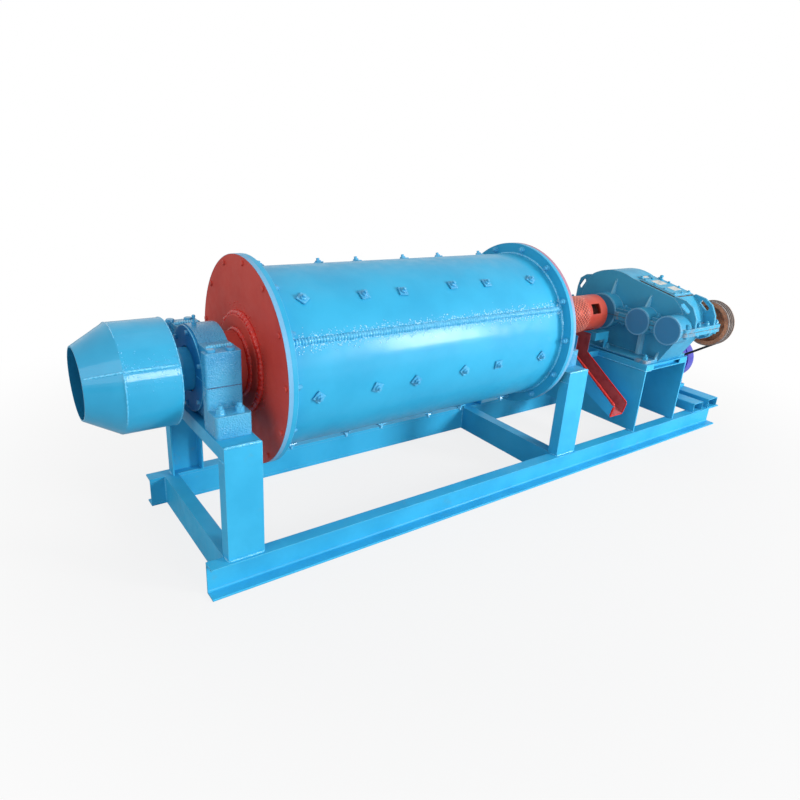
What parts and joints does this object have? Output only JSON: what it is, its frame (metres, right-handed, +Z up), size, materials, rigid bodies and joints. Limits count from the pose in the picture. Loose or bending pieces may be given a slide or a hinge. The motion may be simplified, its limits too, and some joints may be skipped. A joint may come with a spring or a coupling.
{
  "type": "ball mill",
  "caption": "Horizontal ball mill on a welded channel skid: flanged drum on split bearings, scoop feeder, discharge sleeve and chute, parallel-shaft reducer and belt drive",
  "frame": {"origin": "on the ground, at the middle of the underside of the feed cross member, midway between the skid rails", "axes": "+X along the drum's axis from the feed end to the drive end, +Y to the rear, +Z up"},
  "size_m": [4.865, 1.286, 1.4979],
  "materials": {
    "frame_blue": "gloss enamel over rolled steel",
    "casting_blue": "gloss enamel over a rough casting",
    "cover_blue": "gloss enamel",
    "bush_bronze": "machined",
    "drum_blue": "gloss enamel with weld marks",
    "drum_red": "red oxide enamel",
    "feeder_blue": "gloss enamel",
    "sleeve_red": "red enamel over scored steel",
    "chute_red": "red oxide inside, blue enamel outside",
    "reducer_blue": "satin enamel over castings",
    "shaft_steel": "turned",
    "pulley_iron": "light surface rust, turned grooves",
    "belt_rubber": "matt",
    "motor_blue": "satin enamel"
  },
  "bodies": {
    "frame": {"rail_front_web": "frame_blue", "rail_front_flanges": "frame_blue", "rail_rear_web": "frame_blue", "rail_rear_flanges": "frame_blue", "cross_member_feed": "frame_blue", "cross_member_drive": "frame_blue", "post_feed_front": "frame_blue", "post_feed_rear": "frame_blue", "post_drive_front": "frame_blue", "post_drive_rear": "frame_blue", "bearing_beam_feed": "frame_blue", "bearing_beam_drive": "frame_blue", "bearing_base_feed": "casting_blue", "bearing_base_drive": "casting_blue", "bearing_cap_feed": "casting_blue", "bearing_cap_drive": "casting_blue", "bearing_bush_feed": "bush_bronze", "bearing_bush_drive": "bush_bronze", "bearing_covers_feed": "cover_blue", "bearing_covers_drive": "cover_blue", "pedestal_plate_left": "frame_blue", "pedestal_plate_right": "frame_blue", "pedestal_frame": "frame_blue", "gearbox_lower": "reducer_blue", "gearbox_upper": "reducer_blue", "gearbox_caps": "reducer_blue", "gearbox_lugs": "reducer_blue", "inspection_cover": "reducer_blue", "motor_rails": "frame_blue", "motor_base": "frame_blue", "motor_body": "motor_blue", "motor_fan_cowl": "motor_blue", "motor_pulley": "pulley_iron", "v_belts": "belt_rubber", "discharge_chute": "chute_red", "chute_bracket": "frame_blue"},
    "drum": {"drum_shell": "drum_blue", "flange_ring_feed": "drum_blue", "flange_ring_drive": "drum_blue", "end_cover_feed": "drum_red", "end_cover_drive": "drum_red", "trunnion_feed": "drum_red", "trunnion_drive": "drum_red", "feeder_drum": "feeder_blue", "discharge_sleeve": "sleeve_red", "output_shaft": "shaft_steel"},
    "pulley": {"drive_pulley": "pulley_iron", "input_shaft": "shaft_steel"}
  },
  "joints": [
    {"name": "drum_spin", "type": "hinge", "parent": "frame", "child": "drum", "pos_m": [1.2, 0, 0.968], "axis": [1, 0, 0], "continuous": true},
    {"name": "pulley_spin", "type": "hinge", "parent": "frame", "child": "pulley", "pos_m": [3.651, -0.591, 0.968], "axis": [1, 0, 0], "continuous": true}
  ],
  "couplings": [
    {"joint": "pulley_spin", "follows": "drum_spin", "ratio": 20.49}
  ]
}
